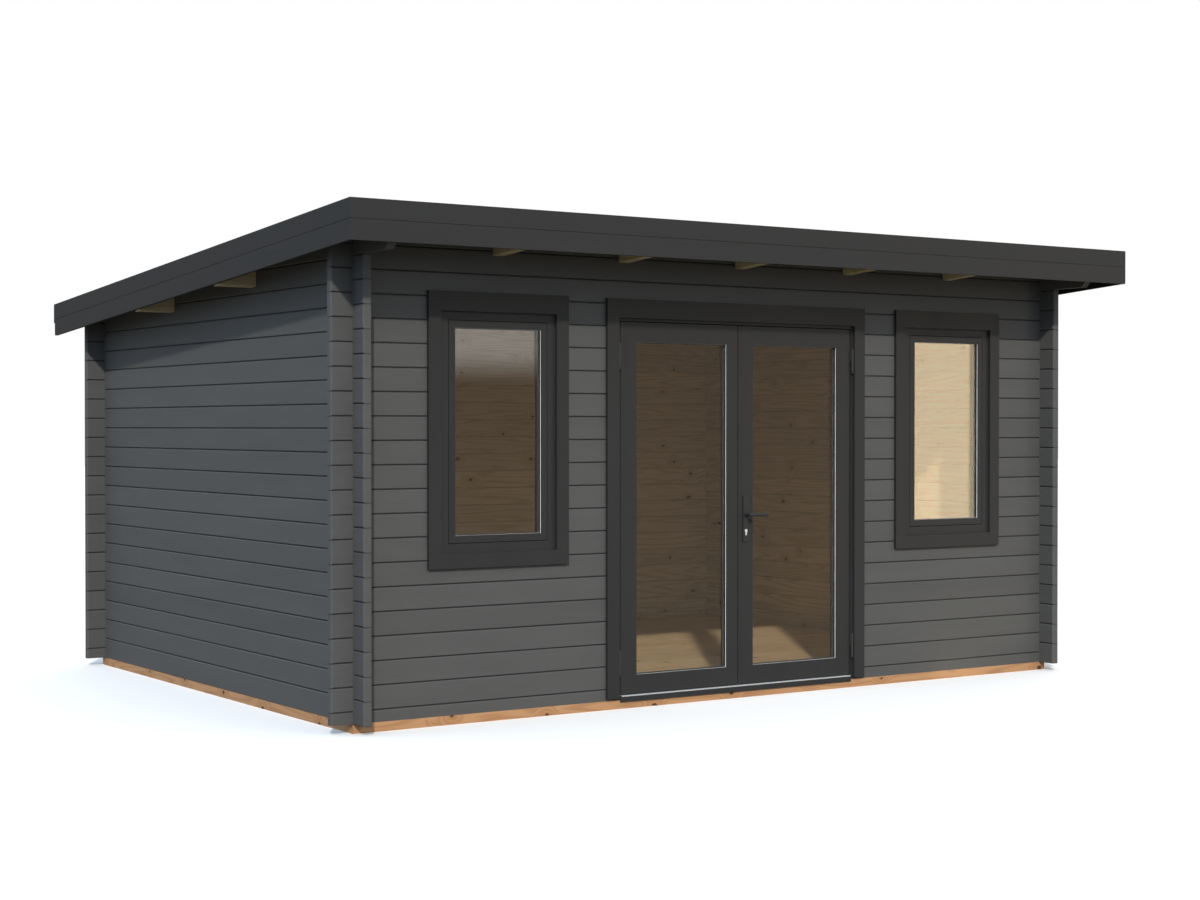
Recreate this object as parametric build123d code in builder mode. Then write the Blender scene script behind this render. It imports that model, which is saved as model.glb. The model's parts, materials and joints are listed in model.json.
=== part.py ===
from build123d import *
from math import cos, radians, tan
import os

# Garden office pod: a log cabin of interlocking 44 mm logs under a low pent roof.
# Millimetres, +Z up. The origin is on the ground under the middle of the roof. The door side faces -Y.

# Walls, measured to the outer faces of the logs
WALL_LENGTH = 4508.0
WALL_DEPTH = 3296.0
LOG_T = 44.0
LOG_H = 114.0
LOG_END = 110.0
LOG_GROOVE = 6.0
END_CHAMFER = 6.0
NOTCH_FIT = 0.25

# Base and floor
BASE_H = 45.0
BASE_W = 95.0
BEAM_JOINT = 751.0
BEAM_GAP = 1.5
BEARER_W = 45.0
BEARERS = 7
FLOOR_T = 26.0
FLOOR_GAP = 4.0

# Roof
ROOF_PITCH = 4.01
FRONT_HEIGHT = 2429.0
OVER_FRONT = 412.0
OVER_REAR = 216.0
OVER_SIDE = 220.0
UPSTAND = 15.0
COVER_T = 4.0
DECK_T = 19.0
FASCIA_T = 19.0
FASCIA_UPPER = 92.0
FASCIA_LOWER = 95.0
FASCIA_EASE = 2.0
REAR_TRIM_T = 16.0
REAR_TRIM_H = 112.0
TAIL_W = 60.0
TAIL_H = 120.0
TAIL_PITCH = 735.0
TAILS = 5
PURLIN_W = 60.0
PURLIN_H = 160.0
PURLINS = 2
CORBEL_REACH = 355.0
CORBEL_CUT = 40.0
SEAT_FIT = 0.5

# Wall openings: the sill is a count of the front wall's log courses, the head is the last course that leaves
# the header its least height under the roof boards
SILL_COURSE = 6
HEADER_MIN = 285.0
HEAD_GAP = 38.0

# Windows
WINDOW_OFFSET = 1470.0
WINDOW_CUT = 717.0
WINDOW_CLEAR = 5.0
WINDOW_FRAME_SIDE = 75.0
WINDOW_FRAME_SILL = 77.0
WINDOW_FRAME_HEAD = 71.0
WINDOW_FRAME_DEPTH = 78.0
WINDOW_STOP = 12.0
SASH_GAP = 3.0
SASH_DEPTH = 56.0
SASH_BAR = 35.0
WINDOW_CASING_LAP = 30.0
WINDOW_CASING_SIDE = 70.0
WINDOW_CASING_HEAD = 94.0
WINDOW_CASING_SILL = 70.0
CASING_T = 18.0

# Sealed glass units
GLASS_T = 24.0
GLASS_SET = 12.0
GLASS_BITE = 12.0
GLASS_FIT = 0.5

# Double door
DOOR_CLEAR = 4.0
DOOR_WIDTH = 1510.0
DOOR_HEAD_GAP = 46.5
LEAF_GAP = 5.0
LEAF_SET = 2.0
LEAF_T = 40.0
LEAF_BEVEL = 3.0
MEETING_LAP = 22.0
HINGE_STILE = 98.0
MEETING_STILE = 86.0
BEAD_GROOVE = 2.0
TOP_RAIL = 101.0
BOTTOM_RAIL = 95.0
JAMB_T = 40.0
STOP_T = 18.0
STOP_LAP = 14.0
DOOR_REVEAL = 15.0
DOOR_CASING_SIDE = 72.0
DOOR_CASING_HEAD = 95.5
DOOR_CASING_FOOT = 10.0
THRESHOLD_TOP = 20.0
THRESHOLD_DROP = 10.5
THRESHOLD_NOSE = 8.0
THRESHOLD_STOP = 14.0
STRIP_T = 2.0
STRIP_LIP = 3.5
STRIP_DEPTH = 34.0

# Door hinges: the lower half is on the jamb, the upper half on the leaf
BARREL_D = 14.0
BARREL_HALF = 64.0
BARREL_GAP = 1.0
BARREL_STAND = 8.0
BARREL_OUT = 11.0
FLAP_T = 2.5
ARM_SET = 1.5
ARM_T = 3.5
FLAP_DEPTH = 40.0
NECK_W = 6.0
HINGE_UP = 155.0
HINGE_DOWN = 174.0
PIN_D = 8.0
PIN_UP = 40.0
PIN_FIT = 0.3

# Lever handle, its plates and the keyed lock
LEVER_Z = 915.0
LEVER_INSET = 45.5
LEVER_D = 19.0
LEVER_REACH = 113.0
LEVER_STAND = 46.0
SPINDLE_W = 8.0
SPINDLE_HOLE = 12.5
MORTISE_W = 22.0
MORTISE_EDGE = 12.0
PLATE_W = 34.0
PLATE_T = 7.0
PLATE_UP = 99.0
PLATE_DOWN = 142.0
NECK_GAP = 1.0
LOCK_DROP = 84.0
LOCK_D = 16.0
LOCK_STEM_W = 8.0
LOCK_STEM_H = 24.0
LOCK_PROUD = 3.0
LOCK_FIT = 0.3

# Places worked out from the sizes
COS = cos(radians(ROOF_PITCH))
SLOPE = tan(radians(ROOF_PITCH))
ROOF_DEPTH = WALL_DEPTH + OVER_FRONT + OVER_REAR
X_WALL = WALL_LENGTH / 2
X_ROOF = X_WALL + OVER_SIDE
Y_ROOF = -ROOF_DEPTH / 2
Y_FRONT = Y_ROOF + OVER_FRONT
Y_REAR = Y_FRONT + WALL_DEPTH
Y_BACK = -Y_ROOF
DECK_DROP = UPSTAND + DECK_T / COS
FASCIA_H = FASCIA_UPPER + FASCIA_LOWER
FIRST_JOINT = BASE_H + LOG_H / 2
Z_BOARDS = FRONT_HEIGHT - OVER_FRONT * SLOPE - DECK_DROP
Z_SILL = FIRST_JOINT + SILL_COURSE * LOG_H
Z_HEAD = FIRST_JOINT + int((Z_BOARDS - HEADER_MIN - FIRST_JOINT) // LOG_H) * LOG_H
Z_FRAME_TOP = Z_HEAD - HEAD_GAP
FAR = 6000.0

X_LEAF = DOOR_WIDTH / 2
X_JAMB = X_LEAF + LEAF_GAP
X_DOOR_FRAME = X_JAMB + JAMB_T
X_DOOR_CUT = X_DOOR_FRAME + DOOR_CLEAR
Y_LEAF = Y_FRONT + LEAF_SET
Y_LEAF_BACK = Y_LEAF + LEAF_T
Y_STOP = Y_LEAF_BACK + LEAF_GAP
Y_DOOR_FRAME = Y_STOP + STOP_T
Z_THRESHOLD = BASE_H + THRESHOLD_TOP
Z_LEAF = Z_THRESHOLD + STRIP_T + LEAF_GAP
Z_DOOR_HEAD = Z_HEAD - DOOR_HEAD_GAP - JAMB_T
Z_LEAF_TOP = Z_DOOR_HEAD - LEAF_GAP

os.makedirs("parts", exist_ok=True)


def fascia_top(y):
    """Height of the fascia's top edge at depth y."""
    return FRONT_HEIGHT - (y - Y_ROOF) * SLOPE


def deck_under(y):
    """Height of the underside of the roof boards at depth y."""
    return fascia_top(y) - DECK_DROP


def save(piece, name):
    """Labels one finished piece and writes it."""
    piece.label = name
    export_step(piece, f"parts/{name}.step")


def board(x0, x1, y0, y1, z0, z1):
    """A squared timber between two corners."""
    with BuildPart() as timber:
        with BuildSketch(Plane.XY.offset(z0)):
            with Locations(((x0 + x1) / 2, (y0 + y1) / 2)):
                Rectangle(abs(x1 - x0), y1 - y0)
        extrude(amount=z1 - z0)
    return timber.part


def sloped(x0, x1, y0, y1, drop_top, drop_bottom):
    """A timber whose top and bottom follow the roof, at given drops below the fascia's top edge."""
    corners = [
        (y0, fascia_top(y0) - drop_bottom),
        (y1, fascia_top(y1) - drop_bottom),
        (y1, fascia_top(y1) - drop_top),
        (y0, fascia_top(y0) - drop_top),
    ]
    with BuildPart() as timber:
        with BuildSketch(Plane.YZ.offset(x0)):
            Polygon(*corners, align=None)
        extrude(amount=x1 - x0)
    return timber.part


def ring(x0, x1, z0, z1, left, right, bottom, top, y0, y1):
    """A rectangular frame in the XZ plane, from its outer corners and the widths of its four bars."""
    with BuildPart() as frame:
        with BuildSketch(Plane.XZ.offset(-y1)):
            with Locations(((x0 + x1) / 2, (z0 + z1) / 2)):
                Rectangle(x1 - x0, z1 - z0)
            with Locations(((x0 + left + x1 - right) / 2, (z0 + bottom + z1 - top) / 2)):
                Rectangle(x1 - x0 - left - right, z1 - z0 - bottom - top, mode=Mode.SUBTRACT)
        extrude(amount=y1 - y0)
    return frame.part


# Log walls
def log_section(t0, z0, first_line, z1):
    """Outline of stacked logs from t0 to t0 + LOG_T, with a V groove on both faces at each joint."""
    count = int((z1 - LOG_GROOVE - first_line) // LOG_H) + 1
    outer = [(t0 + LOG_T, z0)]
    inner = [(t0, z0)]
    for k in range(count):
        z = first_line + k * LOG_H
        outer += [(t0 + LOG_T, z - LOG_GROOVE), (t0 + LOG_T - LOG_GROOVE, z), (t0 + LOG_T, z + LOG_GROOVE)]
        inner += [(t0, z - LOG_GROOVE), (t0 + LOG_GROOVE, z), (t0, z + LOG_GROOVE)]
    outer.append((t0 + LOG_T, z1))
    inner.append((t0, z1))
    return outer + inner[::-1]


def above_roof():
    """What lies above the underside of the roof boards, to be cut from the walls."""
    with BuildPart() as block:
        with BuildSketch(Plane.YZ.offset(-FAR)):
            Polygon((-FAR, deck_under(-FAR)), (FAR, deck_under(FAR)), (FAR, FAR), (-FAR, FAR), align=None)
        extrude(amount=2 * FAR)
    return block.part


def long_wall(y_low):
    """Front or rear wall: half a log at the foot, and log ends that run on past both side walls."""
    z_top = deck_under(y_low)
    reach = X_WALL + LOG_END
    y_mid = y_low + LOG_T / 2
    courses = int((z_top - BASE_H) // LOG_H) + 1
    notches = [
        (side * (X_WALL - LOG_T / 2), y_mid, BASE_H + (k + 0.5) * LOG_H)
        for side in (-1, 1)
        for k in range(courses)
    ]
    with BuildPart() as wall:
        with BuildSketch(Plane.YZ.offset(-reach)):
            Polygon(*log_section(y_low, BASE_H, BASE_H + LOG_H / 2, z_top), align=None)
        extrude(amount=2 * reach)
        with BuildSketch():
            with Locations((0, y_mid)):
                Rectangle(2 * reach, LOG_T)
            chamfer(vertices(), END_CHAMFER)
        extrude(amount=FAR, mode=Mode.INTERSECT)
        with Locations(*notches):
            Box(LOG_T + 2 * NOTCH_FIT, 2 * LOG_T, LOG_H / 2 + 2 * NOTCH_FIT, mode=Mode.SUBTRACT)
        add(above_roof(), mode=Mode.SUBTRACT)
    return wall.part


def purlin(k, fit=0.0):
    """One beam across the room, spaced evenly between the long walls."""
    y_mid = Y_FRONT + LOG_T / 2 + (WALL_DEPTH - LOG_T) * (k + 1) / (PURLINS + 1)
    reach = X_ROOF - FASCIA_T
    y0 = y_mid - PURLIN_W / 2 - fit
    y1 = y_mid + PURLIN_W / 2 + fit
    return sloped(-reach, reach, y0, y1, DECK_DROP - fit, DECK_DROP + PURLIN_H + fit)


def tail(k, fit=0.0):
    """One short rafter under the front overhang, from the front purlin out to the fascia."""
    x_mid = (k - (TAILS - 1) / 2) * TAIL_PITCH
    y_purlin = Y_FRONT + LOG_T / 2 + (WALL_DEPTH - LOG_T) / (PURLINS + 1) - PURLIN_W / 2
    x0 = x_mid - TAIL_W / 2 - fit
    x1 = x_mid + TAIL_W / 2 + fit
    return sloped(x0, x1, Y_ROOF + FASCIA_T, y_purlin, DECK_DROP - fit, DECK_DROP + TAIL_H + fit)


def side_wall(side):
    """Left or right wall: a whole log at the foot, and a top log that reaches out under the eaves."""
    x_mid = side * (X_WALL - LOG_T / 2)
    x_low = x_mid - LOG_T / 2
    y_end = Y_FRONT - LOG_END
    y_corbel = Y_FRONT - CORBEL_REACH
    z_top = deck_under(y_corbel)
    z_corbel = BASE_H + (int((z_top - BASE_H) // LOG_H) - 1) * LOG_H
    courses = int((z_top - BASE_H) // LOG_H) + 1
    notches = [
        (x_mid, y, BASE_H + k * LOG_H)
        for y in (Y_FRONT + LOG_T / 2, Y_REAR - LOG_T / 2)
        for k in range(courses)
    ]
    with BuildPart() as wall:
        with BuildSketch(Plane.XZ.offset(-(Y_REAR + LOG_END))):
            Polygon(*log_section(x_low, BASE_H, BASE_H + LOG_H, z_top), align=None)
        extrude(amount=WALL_DEPTH + 2 * LOG_END)
        with BuildSketch():
            with Locations((x_mid, (y_end + Y_REAR + LOG_END) / 2)):
                Rectangle(LOG_T, WALL_DEPTH + 2 * LOG_END)
            chamfer(vertices(), END_CHAMFER)
        extrude(amount=FAR, mode=Mode.INTERSECT)
        with Locations(*notches):
            Box(2 * LOG_T, LOG_T + 2 * NOTCH_FIT, LOG_H / 2 + 2 * NOTCH_FIT, mode=Mode.SUBTRACT)
        with BuildSketch(Plane.XZ.offset(-(Y_FRONT - NOTCH_FIT))):
            Polygon(*log_section(x_low, z_corbel + LOG_GROOVE, z_corbel + LOG_H, z_top), align=None)
        extrude(amount=CORBEL_REACH - NOTCH_FIT)
        with BuildSketch(Plane.YZ.offset(x_low)):
            Polygon(
                (y_corbel, z_corbel),
                (y_corbel + CORBEL_CUT, z_corbel),
                (y_corbel, z_corbel + CORBEL_CUT),
                align=None,
            )
        extrude(amount=LOG_T, mode=Mode.SUBTRACT)
        for k in range(PURLINS):
            add(purlin(k, SEAT_FIT), mode=Mode.SUBTRACT)
        add(above_roof(), mode=Mode.SUBTRACT)
    return wall.part


FRONT_WALL = long_wall(Y_FRONT)


def front_part(x0, x1, z0, z1):
    """The stretch of the front wall between two places along it and two heights."""
    with BuildPart() as stretch:
        add(FRONT_WALL)
        with BuildSketch(Plane.XY.offset(z0)):
            with Locations(((x0 + x1) / 2, Y_FRONT)):
                Rectangle(abs(x1 - x0), 4 * LOG_T)
        extrude(amount=z1 - z0, mode=Mode.INTERSECT)
    return stretch.part


def front_walls():
    """The front wall, parted at the door and the two windows."""
    x_out = X_WALL + LOG_END + LOG_T
    near = WINDOW_OFFSET - WINDOW_CUT / 2
    far = WINDOW_OFFSET + WINDOW_CUT / 2
    for side, word in ((-1, "left"), (1, "right")):
        save(front_part(side * X_DOOR_CUT, side * x_out, BASE_H, Z_SILL), f"front_wall_under_{word}_window")
        save(front_part(side * far, side * x_out, Z_SILL, Z_HEAD), f"front_wall_{word}_corner")
        save(front_part(side * X_DOOR_CUT, side * near, Z_SILL, Z_HEAD), f"front_wall_{word}_of_door")
    with BuildPart() as header:
        add(front_part(-x_out, x_out, Z_HEAD, FAR))
        for k in range(TAILS):
            add(tail(k, SEAT_FIT), mode=Mode.SUBTRACT)
    save(header.part, "front_wall_header")


front_walls()
save(side_wall(-1), "left_wall")
save(side_wall(1), "right_wall")
save(long_wall(Y_REAR - LOG_T), "rear_wall")


# Base beams, bearers and floor
def base():
    with BuildPart() as front_beam:
        for x0, x1 in ((-X_WALL, BEAM_JOINT - BEAM_GAP / 2), (BEAM_JOINT + BEAM_GAP / 2, X_WALL)):
            add(board(x0, x1, Y_FRONT, Y_FRONT + BASE_W, 0, BASE_H))
    save(front_beam.part, "base_beam_front")
    save(board(-X_WALL, X_WALL, Y_REAR - BASE_W, Y_REAR, 0, BASE_H), "base_beam_rear")
    y0 = Y_FRONT + BASE_W
    y1 = Y_REAR - BASE_W
    save(board(-X_WALL, -X_WALL + BASE_W, y0, y1, 0, BASE_H), "base_beam_left")
    save(board(X_WALL - BASE_W, X_WALL, y0, y1, 0, BASE_H), "base_beam_right")
    with BuildPart() as bearers:
        pitch = (WALL_LENGTH - BASE_W) / (BEARERS + 1)
        with BuildSketch():
            with Locations((0, (y0 + y1) / 2)):
                with GridLocations(pitch, 0, BEARERS, 1):
                    Rectangle(BEARER_W, y1 - y0)
        extrude(amount=BASE_H)
    save(bearers.part, "floor_bearers")
    with BuildPart() as floor:
        inside = LOG_T + FLOOR_GAP
        x_in = X_WALL - inside
        add(board(-x_in, x_in, Y_FRONT + inside, Y_REAR - inside, BASE_H, BASE_H + FLOOR_T))
        with BuildSketch(Plane.XY.offset(BASE_H)):
            with Locations((0, Y_FRONT)):
                Rectangle(2 * (X_DOOR_FRAME + FLOOR_GAP), 2 * (Y_DOOR_FRAME - Y_FRONT + FLOOR_GAP))
        extrude(amount=FLOOR_T, mode=Mode.SUBTRACT)
    save(floor.part, "floor_boards")


base()


# Roof
def front_fascia(z0, z1, joint):
    """A board across the front of the roof, mitred in plan, with its edge eased at the joint's height."""
    ease = FASCIA_EASE if joint == z0 else -FASCIA_EASE
    with BuildPart() as piece:
        with BuildSketch(Plane.XY.offset(z0)):
            Polygon(
                (-X_ROOF, Y_ROOF),
                (X_ROOF, Y_ROOF),
                (X_ROOF - FASCIA_T, Y_ROOF + FASCIA_T),
                (-X_ROOF + FASCIA_T, Y_ROOF + FASCIA_T),
                align=None,
            )
        extrude(amount=z1 - z0)
        with BuildSketch(Plane.YZ.offset(-X_ROOF)):
            Polygon((Y_ROOF, joint), (Y_ROOF + FASCIA_EASE, joint), (Y_ROOF, joint + ease), align=None)
        extrude(amount=2 * X_ROOF, mode=Mode.SUBTRACT)
    return piece.part


def side_fascia(side, drop_top, drop_bottom, joint):
    """A board along one side of the roof, mitred in plan, with its edge eased at the joint's drop."""
    x_in = side * (X_ROOF - FASCIA_T)
    x_out = side * X_ROOF
    x_eased = side * (X_ROOF - FASCIA_EASE)
    ease = -FASCIA_EASE if joint == drop_bottom else FASCIA_EASE
    with BuildPart() as piece:
        add(sloped(min(x_in, x_out), max(x_in, x_out), Y_ROOF, Y_BACK - REAR_TRIM_T, drop_top, drop_bottom))
        with BuildSketch():
            Polygon((x_out, Y_ROOF), (x_out, Y_BACK), (x_in, Y_BACK), (x_in, Y_ROOF + FASCIA_T), align=None)
        extrude(amount=FAR, mode=Mode.INTERSECT)
        with BuildSketch(Plane.XZ.offset(-Y_ROOF)):
            z_joint = FRONT_HEIGHT - joint
            Polygon((x_out, z_joint), (x_eased, z_joint), (x_out, z_joint - ease), align=None)
        with BuildLine() as run:
            Line((0, Y_ROOF, 0), (0, Y_BACK, fascia_top(Y_BACK) - FRONT_HEIGHT))
        extrude(amount=FAR, dir=run.line % 0, mode=Mode.SUBTRACT)
    return piece.part


def roof():
    x_in = X_ROOF - FASCIA_T
    y0 = Y_ROOF + FASCIA_T
    y1 = Y_BACK - REAR_TRIM_T
    save(sloped(-x_in, x_in, y0, y1, UPSTAND, DECK_DROP), "roof_boards")
    save(sloped(-x_in, x_in, y0, y1, UPSTAND - COVER_T, UPSTAND), "roof_covering")
    z_split = FRONT_HEIGHT - FASCIA_UPPER
    save(front_fascia(z_split, FRONT_HEIGHT, z_split), "fascia_front_upper")
    save(front_fascia(FRONT_HEIGHT - FASCIA_H, z_split, z_split), "fascia_front_lower")
    for side, word in ((-1, "left"), (1, "right")):
        save(side_fascia(side, 0, FASCIA_UPPER, FASCIA_UPPER), f"fascia_{word}_upper")
        save(side_fascia(side, FASCIA_UPPER, FASCIA_H, FASCIA_UPPER), f"fascia_{word}_lower")
    save(sloped(-X_ROOF, X_ROOF, Y_BACK - REAR_TRIM_T, Y_BACK, 0, REAR_TRIM_H), "rear_trim")
    for k, word in enumerate(("front", "rear")):
        save(purlin(k), f"purlin_{word}")
    with BuildPart() as tails:
        for k in range(TAILS):
            add(tail(k))
    save(tails.part, "rafter_tails")


roof()


# Windows
def glass_unit(x0, x1, z0, z1, y_face):
    """A sealed glass unit that stands GLASS_BITE into the bars around the opening x0..x1, z0..z1."""
    y0 = y_face + GLASS_SET
    return board(x0 - GLASS_BITE, x1 + GLASS_BITE, y0, y0 + GLASS_T, z0 - GLASS_BITE, z1 + GLASS_BITE)


def glass_groove(x0, x1, z0, z1, y_face):
    """The groove for that unit, with GLASS_FIT all round."""
    bite = GLASS_BITE + GLASS_FIT
    y0 = y_face + GLASS_SET - GLASS_FIT
    return board(x0 - bite, x1 + bite, y0, y0 + GLASS_T + 2 * GLASS_FIT, z0 - bite, z1 + bite)


def window(side, word):
    x_mid = side * WINDOW_OFFSET
    x_half = WINDOW_CUT / 2 - WINDOW_CLEAR
    side_bar = WINDOW_FRAME_SIDE
    stop = SASH_GAP + WINDOW_STOP
    with BuildPart() as frame:
        add(ring(x_mid - x_half, x_mid + x_half, Z_SILL, Z_FRAME_TOP, side_bar, side_bar,
                 WINDOW_FRAME_SILL, WINDOW_FRAME_HEAD, Y_FRONT, Y_FRONT + WINDOW_FRAME_DEPTH))
        add(ring(x_mid - x_half, x_mid + x_half, Z_SILL, Z_FRAME_TOP, side_bar + stop, side_bar + stop,
                 WINDOW_FRAME_SILL + stop, WINDOW_FRAME_HEAD + stop, Y_FRONT + SASH_DEPTH,
                 Y_FRONT + WINDOW_FRAME_DEPTH))
    save(frame.part, f"{word}_window_frame")

    sash_half = x_half - side_bar - SASH_GAP
    light_half = sash_half - SASH_BAR
    z0 = Z_SILL + WINDOW_FRAME_SILL + SASH_GAP
    z1 = Z_FRAME_TOP - WINDOW_FRAME_HEAD - SASH_GAP
    light = (x_mid - light_half, x_mid + light_half, z0 + SASH_BAR, z1 - SASH_BAR, Y_FRONT)
    with BuildPart() as sash:
        add(ring(x_mid - sash_half, x_mid + sash_half, z0, z1, SASH_BAR, SASH_BAR, SASH_BAR, SASH_BAR,
                 Y_FRONT, Y_FRONT + SASH_DEPTH))
        add(glass_groove(*light), mode=Mode.SUBTRACT)
    save(sash.part, f"{word}_window_sash")
    save(glass_unit(*light), f"{word}_window_glass")

    casing_half = x_half - WINDOW_CASING_LAP + WINDOW_CASING_SIDE
    z_low = Z_SILL + WINDOW_CASING_LAP - WINDOW_CASING_SILL
    z_high = Z_FRAME_TOP - WINDOW_CASING_LAP + WINDOW_CASING_HEAD
    casing = ring(x_mid - casing_half, x_mid + casing_half, z_low, z_high,
                  WINDOW_CASING_SIDE, WINDOW_CASING_SIDE, WINDOW_CASING_SILL, WINDOW_CASING_HEAD,
                  Y_FRONT - CASING_T, Y_FRONT)
    save(casing, f"{word}_window_casing")


window(-1, "left")
window(1, "right")


# Double door
def jamb(side):
    """One side of the door frame: the leaf's rebate in front, and the stop behind it."""
    x_in = side * X_JAMB
    x_out = side * X_DOOR_FRAME
    x_stop = side * (X_LEAF - STOP_LAP)
    with BuildPart() as post:
        with BuildSketch(Plane.XY.offset(BASE_H)):
            Polygon(
                (x_in, Y_FRONT),
                (x_out, Y_FRONT),
                (x_out, Y_DOOR_FRAME),
                (x_stop, Y_DOOR_FRAME),
                (x_stop, Y_STOP),
                (x_in, Y_STOP),
                align=None,
            )
        extrude(amount=Z_DOOR_HEAD - BASE_H)
    return post.part


def door_frame():
    save(jamb(-1), "door_jamb_left")
    save(jamb(1), "door_jamb_right")
    with BuildPart() as head:
        with BuildSketch(Plane.YZ.offset(-X_DOOR_FRAME)):
            Polygon(
                (Y_FRONT, Z_DOOR_HEAD),
                (Y_DOOR_FRAME, Z_DOOR_HEAD),
                (Y_DOOR_FRAME, Z_DOOR_HEAD + JAMB_T),
                (Y_FRONT, Z_DOOR_HEAD + JAMB_T),
                align=None,
            )
        extrude(amount=2 * X_DOOR_FRAME)
        x_stop = X_LEAF - STOP_LAP
        z_stop = Z_LEAF_TOP - STOP_LAP
        add(board(-x_stop, x_stop, Y_STOP, Y_DOOR_FRAME, z_stop, Z_DOOR_HEAD))
    save(head.part, "door_head")
    with BuildPart() as sill:
        with BuildSketch(Plane.YZ.offset(-X_JAMB)):
            Polygon(
                (Y_FRONT - THRESHOLD_NOSE, BASE_H - THRESHOLD_DROP),
                (Y_FRONT, BASE_H - THRESHOLD_DROP),
                (Y_FRONT, BASE_H),
                (Y_DOOR_FRAME, BASE_H),
                (Y_DOOR_FRAME, Z_LEAF + THRESHOLD_STOP),
                (Y_STOP, Z_LEAF + THRESHOLD_STOP),
                (Y_STOP, Z_THRESHOLD),
                (Y_FRONT - THRESHOLD_NOSE, Z_THRESHOLD),
                align=None,
            )
        extrude(amount=2 * X_JAMB)
        for side in (-1, 1):
            x0 = side * (X_LEAF - STOP_LAP)
            x1 = side * FAR
            add(board(min(x0, x1), max(x0, x1), Y_STOP, Y_DOOR_FRAME, BASE_H, FAR), mode=Mode.SUBTRACT)
    save(sill.part, "door_threshold")
    with BuildPart() as strip:
        y_nose = Y_FRONT - THRESHOLD_NOSE
        with BuildSketch(Plane.YZ.offset(-X_LEAF)):
            Polygon(
                (y_nose, Z_THRESHOLD),
                (y_nose + STRIP_DEPTH, Z_THRESHOLD),
                (y_nose + STRIP_DEPTH, Z_THRESHOLD + STRIP_T),
                (y_nose - STRIP_T, Z_THRESHOLD + STRIP_T),
                (y_nose - STRIP_T, Z_THRESHOLD - STRIP_LIP),
                (y_nose, Z_THRESHOLD - STRIP_LIP),
                align=None,
            )
        extrude(amount=2 * X_LEAF)
    save(strip.part, "door_threshold_strip")


def door_casings():
    x0 = X_JAMB + DOOR_REVEAL
    x1 = x0 + DOOR_CASING_SIDE
    z0 = BASE_H + DOOR_CASING_FOOT
    z1 = Z_DOOR_HEAD + DOOR_REVEAL
    save(board(-x1, -x0, Y_FRONT - CASING_T, Y_FRONT, z0, z1), "door_casing_left")
    save(board(x0, x1, Y_FRONT - CASING_T, Y_FRONT, z0, z1), "door_casing_right")
    save(board(-x1, x1, Y_FRONT - CASING_T, Y_FRONT, z1, z1 + DOOR_CASING_HEAD), "door_casing_head")


def meeting_edge(side):
    """Where a leaf's free edge is. The right leaf's face laps past the middle, so the gap is left of it."""
    return (side * LEAF_GAP - MEETING_LAP) / 2


def lever_x():
    return meeting_edge(1) + LEVER_INSET


def across(x, y, z):
    """A plane at a point, facing straight through the door from outside."""
    return Plane((x, y, z), z_dir=(0, 1, 0))


def lock_outline(fit):
    """The keyed lock's section: a round barrel over a narrow stem, with fit all round."""
    with BuildSketch(Plane.XZ, mode=Mode.PRIVATE) as outline:
        with Locations((lever_x(), BASE_H + LEVER_Z - LOCK_DROP)):
            Circle(LOCK_D / 2 + fit)
            with Locations((0, -LOCK_STEM_H / 2)):
                Rectangle(LOCK_STEM_W + 2 * fit, LOCK_STEM_H + 2 * fit)
    return outline.sketch


def leaf(side, word):
    """One glazed door leaf, closed, and its glass."""
    x_meet = meeting_edge(side)
    x_hinge = side * X_LEAF
    x0 = min(x_meet, x_hinge)
    x1 = max(x_meet, x_hinge)
    light_edges = sorted((side * (LEAF_GAP / 2 + MEETING_STILE), side * (X_LEAF - HINGE_STILE)))
    light = (*light_edges, Z_LEAF + BOTTOM_RAIL, Z_LEAF_TOP - TOP_RAIL, Y_LEAF)
    with BuildPart() as frame:
        add(ring(x0, x1, Z_LEAF, Z_LEAF_TOP, light_edges[0] - x0, x1 - light_edges[1], BOTTOM_RAIL, TOP_RAIL,
                 Y_LEAF, Y_LEAF_BACK))
        add(glass_groove(*light), mode=Mode.SUBTRACT)
        with BuildSketch():
            Polygon(
                (x_meet, Y_LEAF_BACK - LEAF_T / 2),
                (x_meet + side * LEAF_BEVEL, Y_LEAF_BACK),
                (x_meet, Y_LEAF_BACK),
                align=None,
            )
            if side > 0:
                x_bead = MEETING_LAP / 2
                Polygon(
                    (x_bead - BEAD_GROOVE, Y_LEAF),
                    (x_bead + BEAD_GROOVE, Y_LEAF),
                    (x_bead, Y_LEAF + BEAD_GROOVE),
                    align=None,
                )
        extrude(amount=FAR, mode=Mode.SUBTRACT)
        if side > 0:
            z = BASE_H + LEVER_Z
            x_mortise = lever_x() - MORTISE_W / 2
            add(board(x_mortise, x_mortise + MORTISE_W, Y_LEAF, Y_LEAF_BACK,
                      z - PLATE_DOWN + MORTISE_EDGE, z + PLATE_UP - MORTISE_EDGE), mode=Mode.SUBTRACT)
    save(frame.part, f"{word}_leaf_frame")
    save(glass_unit(*light), f"{word}_leaf_glass")


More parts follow.
